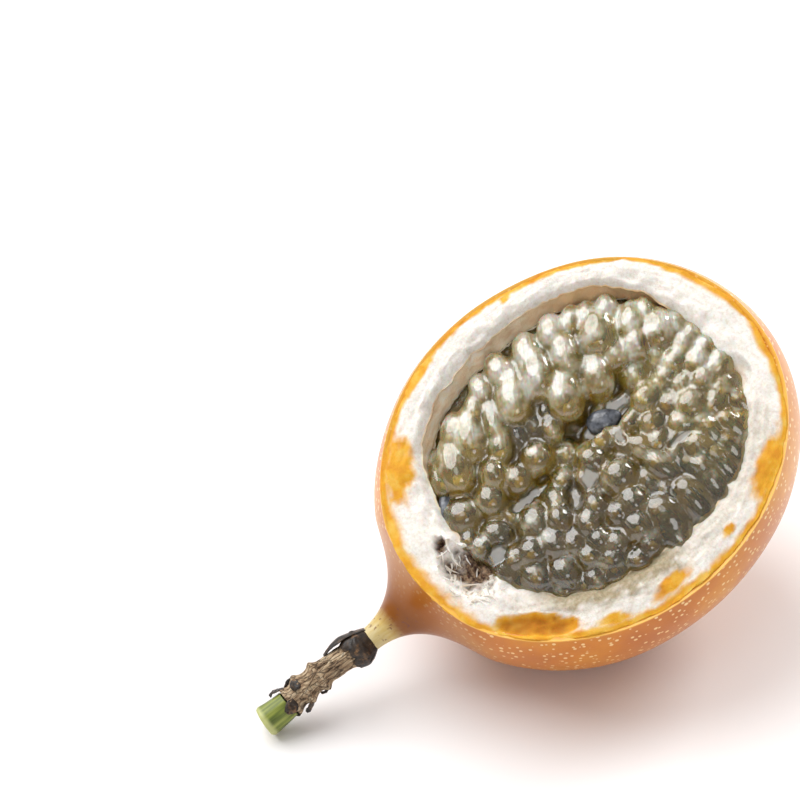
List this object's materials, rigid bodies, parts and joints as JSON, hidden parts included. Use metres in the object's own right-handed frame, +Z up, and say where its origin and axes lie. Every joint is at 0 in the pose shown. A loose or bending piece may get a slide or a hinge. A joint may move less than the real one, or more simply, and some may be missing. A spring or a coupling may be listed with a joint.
{
  "type": "passion fruit half",
  "caption": "Piece of a sweet granadilla cut open lengthwise, with its rind, white pith, seed pulp, neck and dry stalk; it rests on a small flat on its belly.",
  "frame": {"origin": "middle of the box's underside, on the table under the fruit", "axes": "+Z up; the stalk points along -X and slopes down to the table; the cut face leans towards -Y and up"},
  "size_m": [0.0998, 0.0636, 0.0602],
  "materials": {
    "rind": "glossy orange skin with cream dots, white fibrous pith on the cut face",
    "pulp": "wet olive-grey gel over dark seeds",
    "stalk": "dry cracked bark",
    "stalk_end": "fresh green stem with a dry cut"
  },
  "bodies": {
    "root": {"shell": "rind", "pulp": "pulp", "stalk": "stalk", "stalk_end": "stalk_end"}
  },
  "joints": []
}
